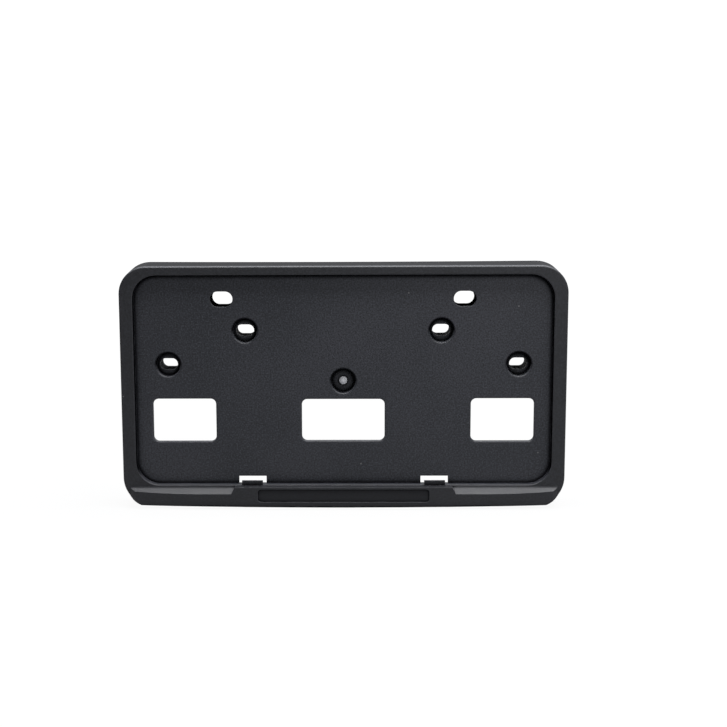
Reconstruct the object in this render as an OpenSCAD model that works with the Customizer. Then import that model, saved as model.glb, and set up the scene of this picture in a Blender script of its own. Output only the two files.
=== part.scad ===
// Front number plate holder: one black moulding between a curved bumper and a 12 x 6 inch plate.
// X runs across the car, +Z is up and the plate faces -Y.
// The origin is midway between the two upper bumper screws, on the plane where their bosses meet
// the bumper.

/* [Plate and its recess] */
// Distance of the recess's bottom ledge below the upper bumper screws
ledge_drop = 114.2; // [108:0.1:120]
// Width of the number plate
plate_w = 304.8; // [300:0.1:320]
// Height of the number plate
plate_h = 152.4; // [148:0.1:160]
// Gap between plate and recess at each side
side_gap = 0.7; // [0.3:0.1:3]
// Gap between the plate's top edge and the recess
top_gap = 2.9; // [0.5:0.1:5]
// Depth of the recess, from the rim's face to the floor
recess_depth = 5; // [3:0.1:8]
// Radius along the recess's front lip
lip_r = 1; // [0.3:0.1:1.5]
// Corner radius of the recess
recess_corner_r = 17; // [12:0.5:22]
// Thickness of the floor under the plate
floor_t = 2.6; // [1.8:0.1:3.5]
// Thickness of the wall around the recess
pan_wall = 2; // [1.5:0.1:3]

/* [Rim and skirt] */
// Width of the rim at each side
side_rim = 10; // [7:0.1:16]
// Width of the rim along the top
top_rim = 6.5; // [5:0.1:14]
// Height of the rail under the recess, at the middle of its crowned edge
rail_h = 16.6; // [13:0.1:22]
// Corner radius of the outline at the top
top_corner_r = 20; // [14:0.5:28]
// Corner radius of the outline at the bottom
bottom_corner_r = 22; // [14:0.5:28]
// Radius of the slow curve along the bottom edge
crown_r = 6500; // [3500:50:9000]
// Depth from the rim's face to the bumper, at the upper bumper screws
body_depth = 26; // [22:0.5:36]
// Outward lean of the skirt over each 10 mm of its depth
skirt_lean = 0.5; // [0.1:0.1:1]
// Thickness of the skirt and the rim
wall = 2.5; // [1.8:0.1:3.2]
// Radius along the front outer edge
edge_r = 1.2; // [0.5:0.1:1.5]
// Radius of the bumper's face, seen from above
bumper_r = 3000; // [1500:50:6000]

/* [Chin] */
// How far the chin stands out in front of the rim
chin_out = 5; // [2:0.1:9]
// Height of the flat strip between the recess and the chin's step
strip_h = 2; // [1:0.1:4]
// Height of the step from the strip down to the chin's face
step_h = 4; // [2:0.1:6]
// Radius of the cove at the top of the step
cove_r = 3; // [1:0.1:5]
// Width of the chin's straight middle, before its face curves back
chin_flat_w = 210; // [120:1:260]
// Radius of the curve that takes the chin's face back at each end
chin_bow_r = 600; // [300:10:1500]
// Radius that rolls the chin's face into the side
chin_end_r = 17; // [8:0.5:30]

/* [Middle pad] */
// Width of the pad at its top
pad_w = 159.4; // [80:0.1:190]
// Slant of the pad's ends, measured sideways from top to bottom
pad_slant = 3.7; // [0:0.1:12]
// Radius along the pad's top edge
pad_edge_r = 1; // [0.3:0.1:1.5]
// Length of the shallow bar sunk in the pad
bar_len = 126.6; // [40:0.1:140]
// Height of the bar
bar_h = 9.6; // [4:0.1:11]
// Depth of the bar
bar_depth = 0.9; // [0.3:0.1:1.5]
// Corner radius of the bar
bar_corner_r = 2.4; // [0.5:0.1:3]
// Distance from the pad's top down to the bar
bar_drop = 2.4; // [1.5:0.1:4]

/* [Plate screws] */
// Spacing of the two plate screws
plate_screw_spacing = 177.8; // [150:0.1:200]
// Height of the plate screws above the upper bumper screws
plate_screw_rise = 23.4; // [18:0.1:28]
// Length of each plate slot
plate_slot_len = 16.4; // [13:0.1:22]
// Width of each plate slot
plate_slot_w = 11; // [8:0.1:13]
// Radius along the front lip of each plate slot
plate_slot_lip_r = 0.8; // [0.2:0.1:1.2]
// Wall of the sleeve behind each plate slot
sleeve_wall = 2; // [1.2:0.1:3]
// How far each sleeve stops short of the bumper
sleeve_gap = 1.5; // [0.5:0.1:8]

/* [Bumper screws] */
// Spacing of the upper pair
upper_spacing = 144; // [120:0.1:160]
// Spacing of the lower pair
lower_spacing = 257.4; // [230:0.1:270]
// Distance of the lower pair below the upper pair
lower_drop = 25; // [15:0.1:26]
// Radius of the round well that takes each screw's head
well_r = 8.7; // [7.5:0.1:10]
// Depth of the wells, from the floor
well_depth = 5; // [3:0.1:9]
// Radius along the front lip of the wells
well_lip_r = 1.4; // [0.2:0.1:1.6]
// Thickness of the wells' wall and bottom
well_wall = 2.2; // [1.5:0.1:3]
// Length of each screw slot
screw_slot_len = 13.2; // [9:0.1:15]
// Width of each screw slot
screw_slot_w = 8.4; // [5:0.1:9]
// Wall of the boss around each screw slot
boss_wall = 2.4; // [1.5:0.1:3.5]

/* [Windows] */
// Distance of the windows' middle below the upper bumper screws
window_drop = 66.4; // [58:0.1:70]
// Spacing of the two side windows
side_window_spacing = 234.4; // [200:0.1:240]
// Width of a side window
side_window_w = 46.4; // [20:0.1:56]
// Height of a side window
side_window_h = 31.8; // [15:0.1:36]
// Width of the middle window
mid_window_w = 61; // [20:0.1:90]
// Height of the middle window
mid_window_h = 31; // [15:0.1:36]
// Corner radius of the windows
window_corner_r = 4; // [1:0.1:6]
// Radius along the front lip of the windows
window_lip_r = 1.4; // [0.2:0.1:1.6]

/* [Gate well] */
// Distance of the gate well below the upper bumper screws
gate_drop = 37.4; // [34:0.1:39]
// Radius of the gate well
gate_well_r = 8.8; // [6:0.1:10]
// Depth of the gate well, from the floor
gate_well_depth = 5; // [3:0.1:8]
// Radius of the cut gate stub in the well
stub_r = 2.9; // [1:0.1:4]
// Height of the stub above the well's bottom
stub_h = 2.2; // [1:0.1:3]

/* [Plate tabs] */
// Spacing of the two tabs that hold the plate's bottom edge
tab_spacing = 134.8; // [80:0.1:150]
// Width of each tab
tab_w = 15.4; // [6:0.1:24]
// Height of each tab above the ledge
tab_h = 3; // [1.5:0.1:5]
// Thickness of each tab
tab_t = 1.8; // [1:0.1:2.5]
// How far each tab lies behind the rim's face
tab_setback = 0.2; // [0:0.1:0.5]
// Gap beside a tab in the opening that the mould leaves behind it
tab_side_gap = 2.5; // [1:0.1:4]
// Height of that opening above the ledge
tab_opening_h = 5.6; // [4:0.1:9]

/* [Ribs] */
// Thickness of the ribs on the back
rib_t = 1.8; // [1.2:0.1:2.4]
// Height of the ribs behind the floor
rib_h = 8; // [4:0.1:14]
// Distance of the low cross rib below the windows' middle
low_rib_drop = 31; // [26:0.5:36]
// Distance of the rail's short ribs from the openings behind the tabs
rail_rib_gap = 7; // [4:0.5:12]

/* [Hidden] */
$fn = 64;
// Facets that keep the slow curves smooth in the preview
slow_fn = 1440;
crown_fn = 3600;
// Sector of the crown's circle that covers the whole outline
crown_arc = 6;
// Overlap of shapes that are cut or joined
over = 1;
// The chin's outline lies inside the rim's by this much, so that its faces cross the rim's edge
seam = 0.05;
// Walls are drawn this far past the bumper plane, and then the bumper's face trims them
trim = 14;
// Openings are cut from this far in front of their mouth, which clears all that stands there
run_in = 8;
// Flats that draw the round lips of the recess and the openings
lip_flats = 3;

// The recess and the outline, seen from the front
ledge_z = -ledge_drop;
recess_w = plate_w + 2 * side_gap;
recess_top_z = ledge_z + plate_h + top_gap;
half_w = recess_w / 2 + side_rim;
top_z = recess_top_z + top_rim;
bottom_z = ledge_z - rail_h;

// Depths along Y: the bumper plane is 0 and the front is negative
rim_y = -body_depth;
chin_y = rim_y - chin_out;
floor_y = rim_y + recess_depth;
floor_back_y = floor_y + floor_t;
well_y = floor_y + well_depth;
gate_y = floor_y + gate_well_depth;
rib_back_y = floor_back_y + rib_h;

// Growth of the outline for each millimetre of depth, and the depth that the skirt is drawn to
lean = skirt_lean / 10;
skirt_run = body_depth + trim;

// The bumper's face meets the plane Y = 0 at the upper screws and falls away beyond them
bumper_bow = bumper_r - sqrt(pow(bumper_r, 2) - pow(upper_spacing / 2, 2));

// The chin's step, from the strip below the ledge down to the chin's face
strip_z = ledge_z - strip_h;
step_z = strip_z - step_h;
step_slope = step_h / chin_out;
chin_flat = chin_flat_w / 2;

// Places of the things that come in pairs
plate_screw_x = plate_screw_spacing / 2;
upper_x = upper_spacing / 2;
lower_x = lower_spacing / 2;
side_window_x = side_window_spacing / 2;
tab_x = tab_spacing / 2;
low_rib_z = -window_drop - low_rib_drop;

// Extrudes a front view along Y, from one depth to another
module along_y(from_y, to_y) {
    translate([0, to_y, 0])
        rotate([90, 0, 0])
            linear_extrude(height = to_y - from_y)
                children();
}

// Places an outline at the same spot on the left and the right of the front view
module pair(x, z) {
    for (side = [-1, 1])
        translate([side * x, z])
            children();
}

// A slot with round ends, grown all round by a margin
module slot_outline(length, width, margin = 0) {
    end_r = width / 2 + margin;
    end_x = (length - width) / 2;
    square([2 * end_x, 2 * end_r], center = true);
    for (side = [-1, 1])
        translate([side * end_x, 0])
            circle(r = end_r);
}

// A rectangle with round corners, grown all round by a margin
module window_outline(width, height, corner_r, margin = 0) {
    r = corner_r + margin;
    x = width / 2 - corner_r;
    y = height / 2 - corner_r;
    square([2 * x, 2 * (y + r)], center = true);
    square([2 * (x + r), 2 * y], center = true);
    for (sx = [-1, 1], sy = [-1, 1])
        translate([sx * x, sy * y])
            circle(r = r);
}

// Sweeps a wall's section round a rectangle with round corners, and fills the inside. The child is
// the section: y is the depth from the front, and x runs out from 0 to the outline at $reach.
module around(half, z_low, z_high, r_low, r_high) {
    side_low = z_low + r_low;
    side_high = z_high - r_high;
    for (side = [0, 1])
        mirror([side, 0, 0])
            translate([0, 0, side_low])
                linear_extrude(height = side_high - side_low)
                    let ($reach = half) children();
    translate([0, 0, side_high])
        rotate([0, -90, 0])
            linear_extrude(height = 2 * (half - r_high), center = true)
                let ($reach = r_high) children();
    translate([0, 0, side_low])
        rotate([0, 90, 0])
            linear_extrude(height = 2 * (half - r_low), center = true)
                let ($reach = r_low) children();
    turned(half - r_low, side_low, r_low, 0) children();
    turned(r_low - half, side_low, r_low, 90) children();
    turned(r_high - half, side_high, r_high, 180) children();
    turned(half - r_high, side_high, r_high, 270) children();
}

// Sweeps the section round a slot with round ends
module around_slot(length, width) {
    r = width / 2;
    end_x = length / 2 - r;
    for (tilt = [-90, 90])
        rotate([0, tilt, 0])
            linear_extrude(height = 2 * end_x, center = true)
                let ($reach = r) children();
    turned(end_x, 0, r, 270, 180) children();
    turned(-end_x, 0, r, 90, 180) children();
}

// Turns the section through part of a circle, a quarter for a corner. From 0 it turns from the
// right towards the bottom.
module turned(x, z, r, start, angle = 90) {
    translate([x, 0, z])
        rotate([-90, start, 0])
            rotate_extrude(angle = angle)
                let ($reach = r) children();
}

// Section of the outer wall, drawn in by an inset: a round front edge, then a face that leans out.
// Inside the wall the edge is sharp.
module skirt_section(inset) {
    round_r = max(edge_r - inset, 0);
    edge_x = $reach + lean * round_r;
    front_edge = round_r > 0 ? [[edge_x - round_r, 0], [edge_x, round_r]] : [[edge_x, 0]];
    back_edge = [[edge_x + lean * skirt_run, round_r + skirt_run], [0, round_r + skirt_run]];
    polygon(concat([[0, 0]], front_edge, back_edge));
    if (round_r > 0)
        translate([edge_x - round_r, round_r])
            circle(r = round_r);
}

// The moulded outline as a solid block, from a front face back past the bumper, drawn in from the
// outside by an inset
module block(front_y, inset) {
    grow = (front_y - rim_y) * lean - inset;
    translate([0, front_y, 0])
        intersection() {
            around(half_w + grow, bottom_z - grow, top_z + grow,
                   bottom_corner_r + grow, top_corner_r + grow)
                skirt_section(inset);
            translate([0, 0, bottom_z + crown_r])
                rotate([-90, 90 - crown_arc / 2, 0])
                    rotate_extrude(angle = crown_arc, $fn = crown_fn)
                        let ($reach = crown_r + grow) skirt_section(inset);
        }
}

// Side view of the chin: the cove, the sloping step and the face below it
module chin_section(inset) {
    top_z_at_rim = strip_z - inset * sqrt(1 + pow(step_slope, 2));
    face_y = chin_y + inset;
    back_y = rim_y + wall + over;
    turn_angle = 90 - atan(step_slope);
    cove_start = cove_r * tan(turn_angle / 2);
    cove_z = top_z_at_rim + cove_start;
    polygon([
        [face_y, bottom_z - over],
        [face_y, top_z_at_rim + (face_y - rim_y) * step_slope],
        [rim_y, top_z_at_rim],
        [back_y, top_z_at_rim],
        [back_y, bottom_z - over]
    ]);
    if (inset == 0)
        difference() {
            polygon([
                [rim_y + over, cove_z],
                [rim_y, cove_z],
                [rim_y - cove_start * sin(turn_angle), strip_z - cove_start * cos(turn_angle)],
                [rim_y + over, strip_z - cove_start]
            ]);
            translate([rim_y - cove_r, cove_z])
                circle(r = cove_r);
        }
}

// Plan of the chin's face: straight in the middle, bowed back, then rolled into the sides
module chin_plan(inset) {
    face_y = chin_y + inset;
    end_x = half_w - chin_end_r;
    chin_depth = chin_out + wall + over;
    intersection() {
        union() {
            translate([-chin_flat, face_y])
                square([chin_flat_w, chin_depth]);
            for (side = [-1, 1])
                translate([side * chin_flat, chin_y + chin_bow_r])
                    circle(r = chin_bow_r - inset, $fn = slow_fn);
        }
        union() {
            translate([-end_x, face_y])
                square([2 * end_x, chin_depth]);
            for (side = [-1, 1])
                translate([side * end_x, chin_y + chin_end_r])
                    circle(r = chin_end_r - inset);
        }
    }
}

// The chin stands in front of the rim, inside the same outline
module chin(inset) {
    intersection() {
        block(chin_y, inset + seam);
        rotate([90, 0, 90])
            linear_extrude(height = 2 * half_w, center = true)
                chin_section(inset);
        translate([0, 0, bottom_z - over])
            linear_extrude(height = rail_h + 2 * over)
                chin_plan(inset);
    }
}

// The middle pad fills the step level with the ledge, with slanted ends and a round top edge
module pad(inset) {
    pad_top_z = ledge_z - inset;
    pad_foot_z = step_z - over;
    foot_w = pad_w + 2 * pad_slant - 2 * inset;
    pad_back_y = rim_y + wall + over;
    intersection() {
        along_y(chin_y + inset, pad_back_y)
            polygon([
                [-pad_w / 2 + inset, pad_top_z],
                [pad_w / 2 - inset, pad_top_z],
                [foot_w / 2, pad_foot_z],
                [-foot_w / 2, pad_foot_z]
            ]);
        rotate([90, 0, 90])
            linear_extrude(height = foot_w, center = true)
                translate([chin_y + inset, pad_foot_z]) {
                    pad_h = pad_top_z - pad_foot_z;
                    square([pad_back_y - chin_y, pad_h - pad_edge_r]);
                    translate([pad_edge_r, 0])
                        square([pad_back_y - chin_y, pad_h]);
                    translate([pad_edge_r, pad_h - pad_edge_r])
                        circle(r = pad_edge_r);
                }
    }
}

// The outside of the moulding, or the hollow behind it when drawn in by the wall
module outer_form(inset) {
    block(rim_y + inset, inset);
    chin(inset);
    pad(inset);
}

// The recess's outline, or the outside of the wall around it when grown by a margin
module recess_outline(margin) {
    translate([0, rim_y, 0])
        around(recess_w / 2 + margin, ledge_z - margin, recess_top_z + margin,
               recess_corner_r + margin, recess_corner_r + margin)
            children();
}

// Points of a round lip beside a mouth, from its face down to the straight wall at x = reach. They
// keep to whole micrometres, so that the lips of sides and corners meet exactly.
function lip_points(reach, lip) = [
    for (i = [0 : lip_flats])
        let (turn = 90 * i / lip_flats)
            [reach + micron(lip * (1 - sin(turn))), micron(lip * (1 - cos(turn)))]
];

function micron(length) = round(length * 1000) / 1000;

// Section that is cut away for the recess or an opening: a round lip at the mouth, then straight
module mouth_section(lip, depth) {
    front = [[0, -run_in], [$reach + lip, -run_in]];
    bottom = [[$reach, depth], [0, depth]];
    polygon(concat(front, lip_points($reach, lip), bottom));
}

// The pan under the recess: its walls and the floor that the plate lies on
module pan() {
    recess_outline(pan_wall)
        square([$reach, recess_depth + floor_t]);
}

// Front views of the holes, grown all round by a margin
module plate_slots(margin) {
    pair(plate_screw_x, plate_screw_rise)
        slot_outline(plate_slot_len, plate_slot_w, margin);
}

module screw_slots(margin = 0) {
    pair(upper_x, 0)
        slot_outline(screw_slot_len, screw_slot_w, margin);
    pair(lower_x, -lower_drop)
        slot_outline(screw_slot_len, screw_slot_w, margin);
}

module screw_wells(margin) {
    pair(upper_x, 0)
        circle(r = well_r + margin);
    pair(lower_x, -lower_drop)
        circle(r = well_r + margin);
}

module gate_well(margin) {
    translate([0, -gate_drop])
        circle(r = gate_well_r + margin);
}

module tab_openings() {
    opening_w = tab_w + 2 * tab_side_gap;
    pair(tab_x, ledge_z)
        translate([-opening_w / 2, 0])
            square([opening_w, tab_opening_h]);
}

// What is cut out of the floor, each opening with its lip at the floor's face
module window_cut(x, width, height) {
    translate([x, floor_y, -window_drop])
        around(width / 2, -height / 2, height / 2, window_corner_r, window_corner_r)
            mouth_section(window_lip_r, floor_t + over);
}

module well_cut(x, z, r, depth) {
    translate([0, floor_y, 0])
        turned(x, z, r, 0, 360)
            mouth_section(well_lip_r, depth);
}

module floor_cuts() {
    window_cut(0, mid_window_w, mid_window_h);
    well_cut(0, -gate_drop, gate_well_r, gate_well_depth);
    for (side = [-1, 1]) {
        window_cut(side * side_window_x, side_window_w, side_window_h);
        well_cut(side * upper_x, 0, well_r, well_depth);
        well_cut(side * lower_x, -lower_drop, well_r, well_depth);
        translate([side * plate_screw_x, floor_y, plate_screw_rise])
            around_slot(plate_slot_len, plate_slot_w)
                mouth_section(plate_slot_lip_r, trim - floor_y);
    }
    along_y(well_y - over, trim + over)
        screw_slots();
    along_y(floor_y - over, floor_back_y + over)
        tab_openings();
}

// Tubes and cups behind the floor, before they are hollowed
module sockets() {
    along_y(floor_y, -sleeve_gap)
        plate_slots(sleeve_wall);
    along_y(floor_y, well_y + well_wall)
        screw_wells(well_wall);
    along_y(well_y, trim)
        screw_slots(boss_wall);
    along_y(floor_y, gate_y + well_wall)
        gate_well(well_wall);
}

// One rib behind the floor, between two corners in the front view
module rib(x_low, x_high, z_low, z_high) {
    translate([x_low, chin_y, z_low])
        cube([x_high - x_low, rib_back_y - chin_y, z_high - z_low]);
}

module upright_rib(x, z_low, z_high) {
    rib(x - rib_t / 2, x + rib_t / 2, z_low, z_high);
}

module cross_rib(z) {
    rib(-half_w, half_w, z - rib_t / 2, z + rib_t / 2);
}

// Stiffening ribs, trimmed so that they end inside the walls, as deep as the front edge is round
module ribs() {
    rail_rib_x = tab_w / 2 + tab_side_gap + rail_rib_gap;
    intersection() {
        union() {
            cross_rib(plate_screw_rise);
            cross_rib(-lower_drop);
            cross_rib(low_rib_z);
            for (side = [-1, 1]) {
                upright_rib(side * upper_x, low_rib_z, top_z);
                upright_rib(side * lower_x, -lower_drop, top_z);
                upright_rib(side * lower_x, bottom_z, low_rib_z);
                upright_rib(side * (tab_x - rail_rib_x), bottom_z, low_rib_z);
                upright_rib(side * (tab_x + rail_rib_x), bottom_z, low_rib_z);
            }
            upright_rib(0, -gate_drop, top_z);
            upright_rib(0, bottom_z, low_rib_z);
        }
        outer_form(edge_r);
    }
}

// The cut gate stub in the middle of its well, with a domed top
module gate_stub() {
    dome_r = (pow(stub_r, 2) + pow(stub_h / 2, 2)) / stub_h;
    intersection() {
        along_y(gate_y - stub_h, gate_y + over)
            translate([0, -gate_drop])
                circle(r = stub_r);
        translate([0, gate_y - stub_h + dome_r, -gate_drop])
            sphere(r = dome_r);
    }
}

// The two tabs that stand on the ledge in front of the plate
module tabs() {
    tab_y = rim_y + tab_setback;
    along_y(tab_y, tab_y + tab_t)
        pair(tab_x, ledge_z)
            translate([-tab_w / 2, -over])
                square([tab_w, tab_h + over]);
}

// The whole moulding
module holder() {
    color("#2e2f32") {
        difference() {
            union() {
                difference() {
                    outer_form(0);
                    outer_form(wall);
                }
                pan();
                sockets();
                ribs();
            }
            recess_outline(0)
                mouth_section(lip_r, recess_depth);
            floor_cuts();
            along_y(chin_y - over, chin_y + bar_depth)
                translate([0, ledge_z - bar_drop - bar_h / 2])
                    window_outline(bar_len, bar_h, bar_corner_r);
            translate([0, bumper_r - bumper_bow, bottom_z - trim])
                cylinder(r = bumper_r, h = top_z - bottom_z + 2 * trim, $fn = slow_fn);
        }
        gate_stub();
        tabs();
    }
}

holder();
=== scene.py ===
# %% [markdown]
# # A moulded number plate holder
# The object is one black injection moulding: a shallow recess for a number plate, a rim, a skirt
# that reaches back to the bumper, and a proud chin below. Its shape is already solid and to scale
# in the frame, so this lesson gives it its finish, its light and its camera. All lengths are in
# metres, X runs across the car, Z is up, and the plate's side faces -Y.

import math

import bpy
from mathutils import Matrix, Vector


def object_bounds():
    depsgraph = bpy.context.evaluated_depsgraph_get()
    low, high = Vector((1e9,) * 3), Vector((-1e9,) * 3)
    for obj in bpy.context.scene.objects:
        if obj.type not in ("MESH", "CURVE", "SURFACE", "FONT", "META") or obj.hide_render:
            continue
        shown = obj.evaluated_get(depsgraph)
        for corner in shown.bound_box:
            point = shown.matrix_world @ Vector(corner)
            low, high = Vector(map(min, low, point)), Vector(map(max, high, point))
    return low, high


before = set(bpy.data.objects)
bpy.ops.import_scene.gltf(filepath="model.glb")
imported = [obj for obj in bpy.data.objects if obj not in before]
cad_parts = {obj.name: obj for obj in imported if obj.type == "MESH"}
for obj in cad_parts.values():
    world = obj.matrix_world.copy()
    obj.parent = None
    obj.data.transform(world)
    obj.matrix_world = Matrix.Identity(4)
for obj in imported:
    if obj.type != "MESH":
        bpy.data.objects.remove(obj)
cad_low, cad_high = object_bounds()
MM = 0.001
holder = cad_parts["holder"]
print("holder:", len(holder.data.vertices), "vertices,", len(holder.data.polygons), "triangles")

# %% [markdown]
# ## Nodes
# A material is a tree of nodes. Adding each node, setting its options and linking its inputs takes
# lines that all look alike, so one function does it. A socket is given by its name, or by its
# number where several share a name: i0 is the first input and i1 the second.


# %% Nodes
def new_material(name):
    material = bpy.data.materials.new(name)
    material.use_nodes = True
    material.node_tree.nodes.clear()
    return material, material.node_tree


def add_node(tree, kind, settings=None, **inputs):
    """Adds a node. An input is a value, or another node's output socket that is linked to it."""
    node = tree.nodes.new(kind)
    for name, value in (settings or {}).items():
        setattr(node, name, value)
    for name, value in inputs.items():
        socket = node.inputs[int(name[1:]) if name[1:].isdigit() else name.replace("_", " ")]
        if isinstance(value, bpy.types.NodeSocket):
            tree.links.new(value, socket)
        else:
            socket.default_value = value
    return node


# %% [markdown]
# ## Black moulded polypropylene
# Holders like this are moulded in talc-filled polypropylene, coloured through with carbon black.
# The whole holder is one shot of plastic, so it gets one material. A picture of plastic wrapped
# round it would stretch on its many steep faces. Instead, the finish is worked out for each point
# from its place on the moulding and from the way its face is turned. The moulding is the same on
# the left and on the right, so one distance from the middle serves for both sides.

# %% Where a point is and how its face is turned
plastic_material, tree = new_material("moulded_black_polypropylene")
place = add_node(tree, "ShaderNodeTexCoord").outputs["Object"]
along = add_node(tree, "ShaderNodeSeparateXYZ", Vector=place).outputs
side = add_node(tree, "ShaderNodeMath", {"operation": "ABSOLUTE"}, i0=along["X"]).outputs[0]
facing = add_node(tree, "ShaderNodeNewGeometry").outputs["Normal"]
# The Z of a face's direction is the sine of its tilt upwards: 0.3 is 17 degrees and 0.7 is 44
tilt = add_node(tree, "ShaderNodeSeparateXYZ", Vector=facing).outputs

# Depths of the moulding's main faces
CHIN_Y = -31 * MM
RIM_Y = -26 * MM
SEAT_Y = -21 * MM
WELL_Y = -16 * MM
print("chin to bumper:", round(-CHIN_Y / MM), "mm")
print("recess:", round((SEAT_Y - RIM_Y) / MM), "mm deep")

# %% [markdown]
# ### Shares
# Most of a finish is a question of where: how much grain, dust or shadow there is at a point. Each
# answer here is a share from 0 to 1, and shares are joined as words are: all of these, any of
# those. A helper adds its node to the tree that its first socket belongs to.


# %% Shares
def calculate(operation, first, *others):
    """Works through a row of values with one kind of sum."""
    for other in others:
        step = {"operation": operation}
        node = add_node(first.id_data, "ShaderNodeMath", step, i0=first, i1=other)
        first = node.outputs[0]
    return first


def all_of(*shares):
    return calculate("MULTIPLY", *shares)


def any_of(*shares):
    return calculate("MAXIMUM", *shares)


# %% [markdown]
# ### How closed in a point is
# Wells, slots and the foot of every wall look nearly black on such a holder: little light gets in,
# and the pins that shaped them leave a dull face without the grain's sparkle. Ambient occlusion
# measures how much of the view round a point is blocked, and further down it decides where a
# nearly black painted shade goes. One node does it over the width of a well, and one close to a
# corner, where the painted shade is sharper.

# %% How closed in a point is
SHELTER_REACH = 10 * MM
SHELTERED, UNSHELTERED = 0.35, 0.85
CORNER_REACH = 3 * MM
IN_CORNER, OFF_CORNER = 0.56, 0.97


def open_share(reach, low, high):
    """0 where the low share of the view is open or less, and 1 from the high share on."""
    around = add_node(tree, "ShaderNodeAmbientOcclusion", {"samples": 6}, Distance=reach)
    smooth = {"interpolation_type": "SMOOTHSTEP"}
    node = add_node(
        tree, "ShaderNodeMapRange", smooth, Value=around.outputs["AO"], i1=low, i2=high
    )
    return node.outputs[0]


# 1 where a face is open and keeps its colour, 0 where it gets the painted shade
open_unshaded_face = all_of(
    open_share(SHELTER_REACH, SHELTERED, UNSHELTERED),
    open_share(CORNER_REACH, IN_CORNER, OFF_CORNER),
)
print("occlusion within", SHELTER_REACH / MM, "and", CORNER_REACH / MM, "mm")

# %% [markdown]
# ### Limits and ramps
# A feature of the moulding is picked out by the limits of its place. Where a finish doesn't stop at
# a sharp line, a ramp turns a range of values into a share.


# %% Limits and ramps
def above(value, limit):
    return calculate("GREATER_THAN", value, limit)


def below(value, limit):
    return calculate("LESS_THAN", value, limit)


def within(value, low, high):
    return all_of(above(value, low), below(value, high))


def ramp(value, low, high, at_low=0.0, at_high=1.0):
    node = add_node(
        value.id_data, "ShaderNodeMapRange", Value=value, i1=low, i2=high, i3=at_low, i4=at_high
    )
    return node.outputs[0]


# %% [markdown]
# ### The recess's wall and the plate's slots
# Some faces are black in the photograph although they aren't deep, because they are turned away
# from the light. Moving the lamps would darken their neighbours too, so they are picked out by
# their place and get a painted shade. The limits are those of the shape, with a margin of a few
# tenths of a millimetre.

# %% The recess's wall and the plate's slots
RECESS_SIDE = 153.5 * MM
RECESS_LOW, RECESS_TOP = -114.5 * MM, 41.5 * MM
in_recess = all_of(below(side, RECESS_SIDE), within(along["Z"], RECESS_LOW, RECESS_TOP))
# The recess's wall gets a painted shade
recess_wall = all_of(in_recess, within(along["Y"], RIM_Y + 0.4 * MM, SEAT_Y - 0.05 * MM))

SLOT_INNER, SLOT_OUTER = 79.9 * MM, 97.9 * MM
SLOT_LOW, SLOT_TOP = 17.5 * MM, 29.3 * MM
at_slots = all_of(within(side, SLOT_INNER, SLOT_OUTER), within(along["Z"], SLOT_LOW, SLOT_TOP))
behind_lip = above(along["Y"], SEAT_Y + 0.7 * MM)
not_facing_back = ramp(tilt["Y"], 0.6, 0.4)
# The bores of the plate's slots get a painted shade, except faces that look back
slot_bore = all_of(at_slots, behind_lip, not_facing_back)
print("recess's wall up to", RECESS_SIDE / MM, "mm from the middle")

# %% [markdown]
# ### The wells
# Four wells take the heads of the bumper's screws, and one holds the gate. Their round lips get
# no light in their upper half and at the sides, which get a painted shade, and they catch the light
# below. Each well is found by its distance from its own axis, which runs from front to back.

# %% The wells
WELL_AXES = [(72.0, 0.0), (128.7, -25.0), (0.0, -37.4)]
WELL_REACH = 10.25 * MM


def distance_between(first, second):
    apart = {"operation": "DISTANCE"}
    node = add_node(first.id_data, "ShaderNodeVectorMath", apart, i0=first, i1=second)
    return node.outputs["Value"]


def near_axis(x, z, radius):
    """1 within a radius of an axis at so many millimetres to both sides and up."""
    spot = add_node(tree, "ShaderNodeCombineXYZ", X=side, Z=along["Z"]).outputs[0]
    return below(distance_between(spot, Vector((x, 0, z)) * MM), radius)


wells = any_of(*(near_axis(x, z, WELL_REACH) for x, z in WELL_AXES))
lip_depth = within(along["Y"], SEAT_Y - 0.2 * MM, WELL_Y + 0.5 * MM)
not_facing_front = ramp(tilt["Y"], -0.99, -0.95)
not_looking_up = ramp(tilt["Z"], 0.25, -0.05)
# The lips' upper half and sides get a painted shade
well_lip = all_of(lip_depth, wells, not_facing_front, not_looking_up)
print("wells masked:", 2 * len(WELL_AXES) - 1)

# %% [markdown]
# ### Faces that look up
# All these faces get the painted shade. But the light comes from above, and a ledge or the lower
# lip of a well catches it, even where walls stand close by and occlusion counts it as closed in.
# So faces that look up are kept free of the painted shade in front of the recess's floor, and at
# the start of the screw slots.


# %% Faces that look up
def mix_value(share, at_zero, at_one):
    return ramp(share, 0.0, 1.0, at_zero, at_one)


# Faces picked out by their place for the painted shade
closed = any_of(recess_wall, well_lip, slot_bore)
open_unshaded_face = all_of(open_unshaded_face, mix_value(closed, 1.0, 0.0))

looking_up = ramp(tilt["Z"], 0.3, 0.7, 0.0, 0.9)
at_front = below(along["Y"], SEAT_Y + 0.8 * MM)
screw_slots = all_of(within(along["Y"], WELL_Y - 0.2 * MM, WELL_Y + 1.4 * MM), wells)
open_unshaded_face = any_of(open_unshaded_face, all_of(looking_up, any_of(at_front, screw_slots)))
print("nodes for light and shade:", len(tree.nodes))

# %% [markdown]
# ### Colours
# A colour is written as the sRGB hex value that a picture of it would show. The renderer adds up
# light and needs linear values for that, so one function turns every colour of this lesson. A Mix
# node then picks between two colours by a share.


# %% Colours
def linear(hex_colour):
    channels = [int(hex_colour[i : i + 2], 16) / 255 for i in (1, 3, 5)]
    return [c / 12.92 if c <= 0.04045 else ((c + 0.055) / 1.055) ** 2.4 for c in channels] + [1]


def mix_colour(share, at_zero, at_one):
    """The node keeps its colours behind its numbers and vectors, hence inputs 6 and 7."""
    colours = {"data_type": "RGBA"}
    node = add_node(
        share.id_data, "ShaderNodeMix", colours, Factor=share, i6=at_zero, i7=at_one
    )
    return node.outputs[2]


print("middle grey #808080 in linear light:", round(linear("#808080")[0], 3))

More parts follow.
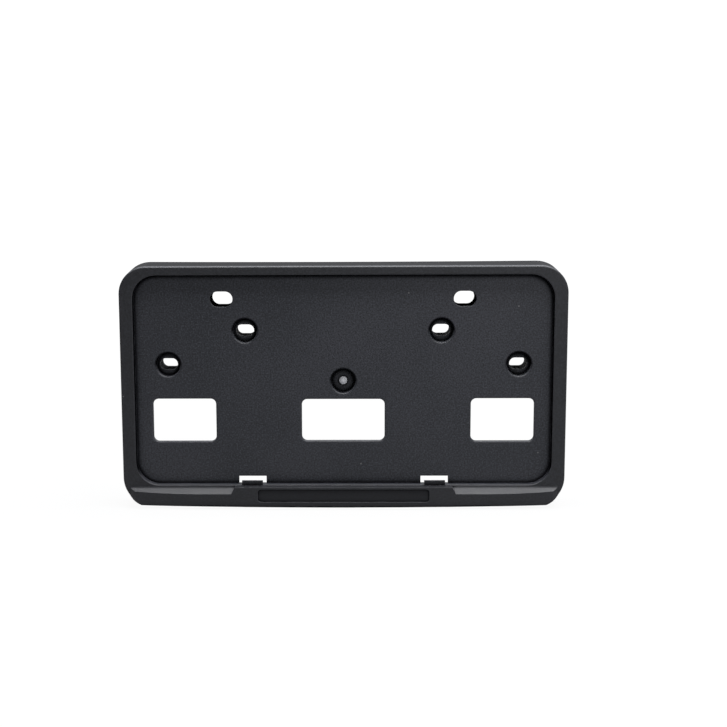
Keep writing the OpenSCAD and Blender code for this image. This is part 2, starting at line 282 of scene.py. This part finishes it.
# %% [markdown]
# ### Cloudiness and grain
# The mould's face is spark-eroded, which leaves a fine even grain that breaks up the gloss: the
# plastic looks charcoal, not black, because the grain sends a little of every light to the eye.
# Slow clouds show where the melt cooled faster or slower. Both are noises in the object's own
# space, and a noise's scale is 1 divided by the size of its pattern. The real grain is perhaps
# 0.15 mm, too fine for a picture of the whole holder, so it is drawn at 1.1 mm.

# %% Cloudiness and grain
CLOUD_SIZE = 70 * MM
GRAIN_PITCH = 1.1 * MM


def noise(size, detail, roughness=0.5):
    node = add_node(
        tree, "ShaderNodeTexNoise",
        Vector=place, Scale=1 / size, Detail=detail, Roughness=roughness,
    )
    return node.outputs["Fac"]


cloud = noise(CLOUD_SIZE, detail=2.0)
grain = noise(GRAIN_PITCH, detail=2.0, roughness=0.6)
shade = mix_colour(ramp(cloud, 0.35, 0.65), linear("#1d1f25"), linear("#27282e"))
grain_pits = ramp(grain, 0.3, 0.5)
grain_peaks = ramp(grain, 0.5, 0.7)
shade = mix_colour(grain_pits, linear("#101114"), shade)
shade = mix_colour(grain_peaks, shade, linear("#34363c"))
print("noise scales:", round(1 / CLOUD_SIZE, 1), "and", round(1 / GRAIN_PITCH, 1), "per metre")

# %% [markdown]
# ### Skirt, bar and rim
# A mould isn't finished alike all over. The skirt behind the rim is coarser and duller, and so is
# the bar that is sunk in the chin's pad; both are coloured darker, the skirt more so towards the
# back. The rim and the chin are coloured a little darker than the floor of the recess. Each is
# found by its depth, its height and its distance from the middle.

# %% Skirt, bar and rim
SKIRT_TOP, SKIRT_SIDE = 45 * MM, 159.5 * MM
past_rim = any_of(above(along["Z"], SKIRT_TOP), above(side, SKIRT_SIDE))
skirt = all_of(past_rim, ramp(along["Y"], RIM_Y + 0.8 * MM, RIM_Y + 5.5 * MM))

BAR_SIDE = 63.4 * MM
BAR_LOW, BAR_TOP = -126.4 * MM, -116.5 * MM
BAR_SHARE = 0.75
in_bar = all_of(below(side, BAR_SIDE), within(along["Z"], BAR_LOW, BAR_TOP))
bar = all_of(in_bar, within(along["Y"], CHIN_Y + 0.1 * MM, CHIN_Y + 1.5 * MM))
coarse = any_of(skirt, mix_value(bar, 0.0, BAR_SHARE))

RIM_SHARE = 0.62
darker_rim = ramp(along["Y"], RIM_Y + 0.5 * MM, RIM_Y + 0.1 * MM, 0.0, RIM_SHARE)
shade = mix_colour(any_of(darker_rim, coarse), shade, linear("#0f1013"))
print("bar:", round(2 * BAR_SIDE / MM), "mm wide,", round((BAR_TOP - BAR_LOW) / MM), "mm high")

# %% [markdown]
# ### Painted shade, rubbed corners and a painted highlight
# The closed-in faces get a nearly black painted shade. Hands, boxes and the plate itself rub a
# moulding paler and smoother at its outer corners. The sloping faces that look up and forward are
# painted paler and made smoother too, as a painted highlight of the light from above.
# Painting the wear by hand would follow the triangles, not the corners. The Bevel node gives the
# direction that a rounded corner would have, and where that differs from the face's own direction,
# a corner is near. A noise breaks the wear up into patches.

# %% Painted shade, rubbed corners and a painted highlight
# Painted shade: the closed-in faces are coloured nearly black
shade = mix_colour(open_unshaded_face, linear("#030304"), shade)

WEAR_RADIUS = 0.9 * MM
PATCH_SIZE = 6 * MM
rounded = add_node(tree, "ShaderNodeBevel", {"samples": 4}, Radius=WEAR_RADIUS).outputs[0]
dot = {"operation": "DOT_PRODUCT"}
likeness = add_node(tree, "ShaderNodeVectorMath", dot, i0=rounded, i1=facing).outputs["Value"]
patches = ramp(noise(PATCH_SIZE, detail=3.0), 0.35, 0.65, 0.3, 1.0)
corners = all_of(ramp(likeness, 0.98, 0.8), patches)

# A painted highlight on the faces that look up and forward
SLOPE_HIGHLIGHT = 0.26
sloping_highlight = all_of(ramp(tilt["Z"], 0.25, 0.5), ramp(tilt["Y"], -0.15, -0.35))
wear_and_highlight = any_of(corners, mix_value(sloping_highlight, 0.0, SLOPE_HIGHLIGHT))
# Paler where rubbed at the corners, plus the painted highlight on the sloping faces
shade = mix_colour(wear_and_highlight, shade, linear("#3a3b40"))
print("wear reaches", WEAR_RADIUS / MM, "mm from a corner")

# %% [markdown]
# ### Dust
# Any black plastic that has been handled carries a few pale specks. They could be scattered as tiny
# meshes, but a cell pattern gives the same with no new piece. Each cell has one speck, and the
# cell's random colour draws the lot that decides whether the speck is there.

# %% Dust
DUST_SPACING = 16 * MM
# A speck's soft edge, as shares of the spacing, and the lot above which one cell in five has it
SPECK_EDGE, SPECK_CORE = 0.045, 0.03
DRAWN_FROM = 0.8
cells = add_node(tree, "ShaderNodeTexVoronoi", Vector=place, Scale=1 / DUST_SPACING).outputs
speck = ramp(cells["Distance"], SPECK_EDGE, SPECK_CORE)
lot = add_node(tree, "ShaderNodeSeparateColor", Color=cells["Color"]).outputs["Red"]
dust = all_of(speck, above(lot, DRAWN_FROM))
shade = mix_colour(dust, shade, linear("#505052"))
print("specks:", round(2 * SPECK_EDGE * DUST_SPACING / MM, 1), "mm across at most")

# %% [markdown]
# ### The cut stub
# The stub in the gate well is where the sprue was cut off. The cut stretches the plastic and leaves
# it pale. A second material would have to follow the dome's triangles. The distance from the well's
# axis and the height above its bottom give a clean round patch instead.

# %% The cut stub
STUB_RADIUS = 3.0 * MM
gate_x, gate_z = WELL_AXES[-1]
above_bottom = below(along["Y"], WELL_Y - 0.02 * MM)
stub = all_of(near_axis(gate_x, gate_z, STUB_RADIUS), above_bottom)
shade = mix_colour(stub, shade, linear("#b4b5b9"))
print("cut stub:", 2 * STUB_RADIUS / MM, "mm across")

# %% [markdown]
# ### Gloss
# The grain scatters a reflection, so the plastic is half rough. Rubbing flattens the grain, which
# makes it smoother, and the faces with the painted highlight are made smoother as well. Closed-in
# faces, the skirt and the bar are duller. Separate materials would meet in hard lines, so all of it
# goes into one roughness.

# %% Gloss
PITS_ROUGH, PEAKS_ROUGH = 0.5, 0.66
RUBBED_CHANGE = -0.2
DULL_CHANGE = 0.35
grained = ramp(grain, 0.3, 0.7, PITS_ROUGH, PEAKS_ROUGH)
rubbed = {"operation": "MULTIPLY_ADD"}
smoothed = add_node(
    tree, "ShaderNodeMath", rubbed, i0=wear_and_highlight, i1=RUBBED_CHANGE, i2=grained
).outputs[0]
dull = any_of(ramp(open_unshaded_face, 0.0, 0.8, DULL_CHANGE, 0.0), mix_value(coarse, 0.0, DULL_CHANGE))
capped = {"operation": "ADD", "use_clamp": True}
rough = add_node(tree, "ShaderNodeMath", capped, i0=smoothed, i1=dull).outputs[0]
print("nodes for colour and gloss:", len(tree.nodes))

# %% [markdown]
# ### Surface
# The mould's own corners are rounded by less than half a millimetre, too little for the mesh, so a
# second Bevel node rounds them in the light, and the grain is a bump on top of that. Plastic seen
# at a flat angle mirrors the white backdrop, and the photograph's bores don't. So the closed-in
# faces get a second shader of the same colour, with no reflection at all.

# %% Surface
ROUND_RADIUS = 0.45 * MM
GRAIN_HEIGHT = 0.06 * MM
PLASTIC_IOR = 1.49
eased = add_node(tree, "ShaderNodeBevel", {"samples": 6}, Radius=ROUND_RADIUS).outputs[0]
bump = add_node(
    tree, "ShaderNodeBump", Height=grain, Strength=0.8, Distance=GRAIN_HEIGHT, Normal=eased
)
plastic = add_node(
    tree, "ShaderNodeBsdfPrincipled",
    Base_Color=shade, Roughness=rough, IOR=PLASTIC_IOR, Specular_IOR_Level=0.35,
    Normal=bump.outputs[0],
)
shadow = add_node(
    tree, "ShaderNodeBsdfPrincipled",
    Base_Color=shade, Roughness=1.0, IOR=PLASTIC_IOR, Specular_IOR_Level=0.0,
)
gloss = all_of(open_unshaded_face, mix_value(skirt, 1.0, 0.7))
surface = add_node(
    tree, "ShaderNodeMixShader", Fac=gloss, i1=shadow.outputs[0], i2=plastic.outputs[0]
)
add_node(tree, "ShaderNodeOutputMaterial", Surface=surface.outputs[0])

holder.data.materials.clear()
holder.data.materials.append(plastic_material)
print("material:", holder.data.materials[0].name, "with", len(tree.nodes), "nodes")

# %% [markdown]
# ## White paper
# The holder stands on white paper, as it was photographed. Paper as white as that would send a lot
# of light up at the black plastic. So it is grey to the light, and only the camera and reflections
# see it white. Round the object it is a little less so, and its shadow stays.

# %% White paper
WHITE = 1.06
SHADOW_START, SHADOW_END = 0.25, 1.1
NEAR_SHARE = 0.89
GLOW_START, GLOW_END = -1.0, -0.5


def white_paper():
    material, paper_tree = new_material("white_paper")
    paper = add_node(
        paper_tree, "ShaderNodeBsdfPrincipled", Base_Color=linear("#77787b"), Roughness=0.9
    )
    spot = add_node(paper_tree, "ShaderNodeTexCoord").outputs["Object"]
    parts = add_node(paper_tree, "ShaderNodeSeparateXYZ", Vector=spot).outputs
    flat = add_node(paper_tree, "ShaderNodeCombineXYZ", X=parts["X"], Y=parts["Y"]).outputs[0]
    distance = distance_between(flat, (0, 0, 0))
    whiteness = ramp(distance, SHADOW_START, SHADOW_END, NEAR_SHARE, 1.0)
    # In a reflection the paper is white behind the object and grey in front of it
    ray = add_node(paper_tree, "ShaderNodeLightPath").outputs
    mirrored = any_of(ray["Is Glossy Ray"], ray["Is Transmission Ray"])
    mirrored = all_of(mirrored, ramp(parts["Y"], GLOW_START, GLOW_END))
    seen = all_of(any_of(ray["Is Camera Ray"], mirrored), whiteness)
    white = add_node(paper_tree, "ShaderNodeEmission", Color=[1, 1, 1, 1], Strength=WHITE)
    mix = add_node(
        paper_tree, "ShaderNodeMixShader", Fac=seen, i1=paper.outputs[0], i2=white.outputs[0]
    )
    add_node(paper_tree, "ShaderNodeOutputMaterial", Surface=mix.outputs[0])
    return material


# %% [markdown]
# ## Sweep
# The paper lies flat under the object, bends up behind it and hangs from above, so no line shows
# where a floor would meet a wall. It is one strip of long faces: flat until more than a metre
# behind the object, then a quarter circle, then straight up.

# %% Sweep
GROUND_Z = cad_low.z
PAPER_FRONT, BEND_START = -3.0, 1.2
BEND_RADIUS = 0.8
BEND_STEPS = 24
PAPER_TOP = 4.0
HALF_WIDTH = 4.0


def sweep_profile():
    """Depth and height of each edge of the paper, from the front to the top."""
    profile = [(PAPER_FRONT, 0.0), (BEND_START, 0.0)]
    for step in range(1, BEND_STEPS + 1):
        turn = math.radians(90) * step / BEND_STEPS
        depth = BEND_START + BEND_RADIUS * math.sin(turn)
        profile.append((depth, BEND_RADIUS - BEND_RADIUS * math.cos(turn)))
    profile.append((BEND_START + BEND_RADIUS, PAPER_TOP))
    return profile


def make_sweep():
    profile = sweep_profile()
    count = len(profile)
    vertices = [(x, y, GROUND_Z + z) for x in (-HALF_WIDTH, HALF_WIDTH) for y, z in profile]
    faces = [(i, i + 1, count + i + 1, count + i) for i in range(count - 1)]
    mesh = bpy.data.meshes.new("sweep")
    mesh.from_pydata(vertices, [], faces)
    mesh.shade_smooth()
    mesh.materials.append(white_paper())
    sweep = bpy.data.objects.new("sweep", mesh)
    bpy.context.scene.collection.objects.link(sweep)
    return sweep


floor = make_sweep()
print("sweep:", len(floor.data.polygons), "faces, on the ground at", round(GROUND_Z, 4), "m")

# %% [markdown]
# ## Lamps
# In the photograph the faces that look up shine and the front stays calm, so one wide soft box
# hangs above. A small one in front, high on the right, gives the front its tone and the slight
# falloff to the left. An area lamp of P watts and A square metres has a radiance of P / (pi A), and
# setting the radiance keeps a lamp's brightness apart from its size.


# %% Lamps
def soft_box(name, place, aim, width, height, radiance):
    lamp = bpy.data.lights.new(name, "AREA")
    lamp.shape = "RECTANGLE"
    lamp.size, lamp.size_y = width, height
    lamp.energy = radiance * math.pi * width * height
    box = bpy.data.objects.new(name, lamp)
    box.location = place
    box.rotation_euler = (Vector(aim) - Vector(place)).to_track_quat("-Z", "Y").to_euler()
    bpy.context.scene.collection.objects.link(box)
    print(name + ":", round(lamp.energy, 1), "W")


soft_box(
    "top_box", place=(0.16, -0.06, 1.1), aim=(0.16, -0.06, 0.0),
    width=1.3, height=0.8, radiance=17.0,
)
soft_box(
    "front_box", place=(0.3, -0.52, 0.34), aim=(0.05, 0.0, -0.03),
    width=0.3, height=0.22, radiance=10.5,
)

# %% [markdown]
# ## Room
# The room lights the object very little. The camera sees it white, so that the background goes on
# past the paper, and a reflection sees it only slightly brighter than it is.

# %% Room
ROOM = 0.08
ROOM_REFLECTED = 0.12
world = bpy.data.worlds.new("studio")
bpy.context.scene.world = world
world.use_nodes = True
room_tree = world.node_tree
room_tree.nodes.clear()
ray = add_node(room_tree, "ShaderNodeLightPath").outputs
mirrored = any_of(ray["Is Glossy Ray"], ray["Is Transmission Ray"])
camera_white = calculate("MULTIPLY", ray["Is Camera Ray"], WHITE)
strength = any_of(mix_value(mirrored, ROOM, ROOM_REFLECTED), camera_white)
room = add_node(room_tree, "ShaderNodeBackground", Color=[1, 1, 1, 1], Strength=strength)
add_node(room_tree, "ShaderNodeOutputWorld", Surface=room.outputs[0])
print("room:", ROOM, "on the object,", ROOM_REFLECTED, "in reflections")

# %% [markdown]
# ## Camera
# The lens and the place come from the object's own straight edges, slots and windows in the
# photograph, fitted as a pinhole: a little above the plate, almost straight on. The fit puts the
# lens's axis left of the picture's middle, so the picture was cropped, and a small shift does that.
# The camera is aimed to the side by its yaw, tipped down by its pitch and then rolled.

# %% Camera
LENS = 66.03
SENSOR = 36.0
CAMERA_PLACE = Vector((4.4, -988.0, 123.7)) * MM
PITCH, YAW, ROLL = (math.radians(a) for a in (8.694, -1.031, -0.273))
CROP_SHIFT = 0.0524

forward = Vector(
    (math.sin(YAW) * math.cos(PITCH), math.cos(YAW) * math.cos(PITCH), -math.sin(PITCH))
)
level = Vector((math.cos(YAW), -math.sin(YAW), 0))
upward = level.cross(forward)
right = math.cos(ROLL) * level + math.sin(ROLL) * upward
top = math.cos(ROLL) * upward - math.sin(ROLL) * level

camera = bpy.data.objects.new("camera", bpy.data.cameras.new("camera"))
camera.data.lens = LENS
camera.data.sensor_width = SENSOR
camera.data.shift_x = CROP_SHIFT
turned = Matrix((right, top, -forward)).transposed().to_4x4()
camera.matrix_world = Matrix.Translation(CAMERA_PLACE) @ turned
bpy.context.scene.collection.objects.link(camera)
bpy.context.scene.camera = camera
bpy.context.scene.view_settings.view_transform = "Standard"
print("camera:", round(CAMERA_PLACE.length, 3), "m from the frame's origin")
